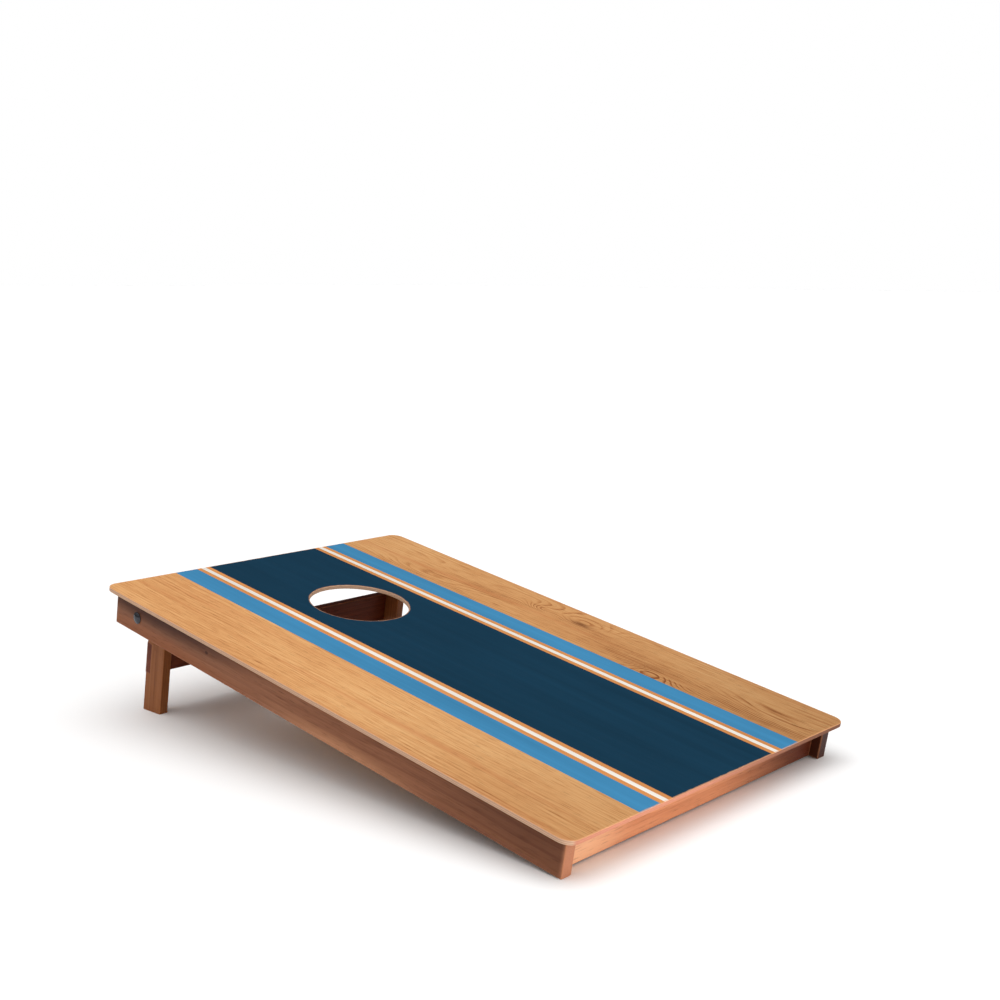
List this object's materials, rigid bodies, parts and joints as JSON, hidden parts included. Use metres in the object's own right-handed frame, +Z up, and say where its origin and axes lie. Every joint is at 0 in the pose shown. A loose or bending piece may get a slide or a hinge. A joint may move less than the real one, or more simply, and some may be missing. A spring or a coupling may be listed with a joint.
{
  "type": "cornhole board",
  "caption": "Wooden bag-toss board with a striped deck, a round bag hole, a rail frame and folding rear legs joined by a crossbar.",
  "frame": {"origin": "on the ground under the middle of the board, as it stands in play with its legs out", "axes": "+X across the board to the player's right, +Y along the board from the low front end to the raised hole end, +Z up"},
  "size_m": [0.6, 0.889, 0.1981],
  "materials": {
    "deck_plywood": "satin",
    "rail_wood": "satin",
    "block_wood": "satin",
    "leg_wood": "satin",
    "dowel_wood": "matte",
    "black_steel": "satin black oxide",
    "zinc_steel": "zinc plated",
    "nylon": "matte"
  },
  "bodies": {
    "board": {"deck_panel": "deck_plywood", "side_rail_left": "rail_wood", "side_rail_right": "rail_wood", "front_rail": "rail_wood", "rear_rail": "rail_wood", "leg_block_left": "block_wood", "leg_block_right": "block_wood", "corner_dowels": "dowel_wood", "block_screws": "zinc_steel", "pivot_bolt_left": "black_steel", "pivot_bolt_right": "black_steel", "spacer_washer_left": "zinc_steel", "spacer_washer_right": "zinc_steel", "clamp_washer_left": "zinc_steel", "clamp_washer_right": "zinc_steel", "lock_nut_left": "zinc_steel", "lock_nut_right": "zinc_steel", "nut_insert_left": "nylon", "nut_insert_right": "nylon"},
    "leg_frame": {"leg_left": "leg_wood", "leg_right": "leg_wood", "leg_crossbar": "leg_wood", "crossbar_screws": "zinc_steel"}
  },
  "joints": [
    {"name": "leg_fold", "type": "hinge", "parent": "board", "child": "leg_frame", "pos_m": [0, 0.38208, 0.15621], "axis": [-1, 0, 0], "range_deg": [0, 90]}
  ]
}
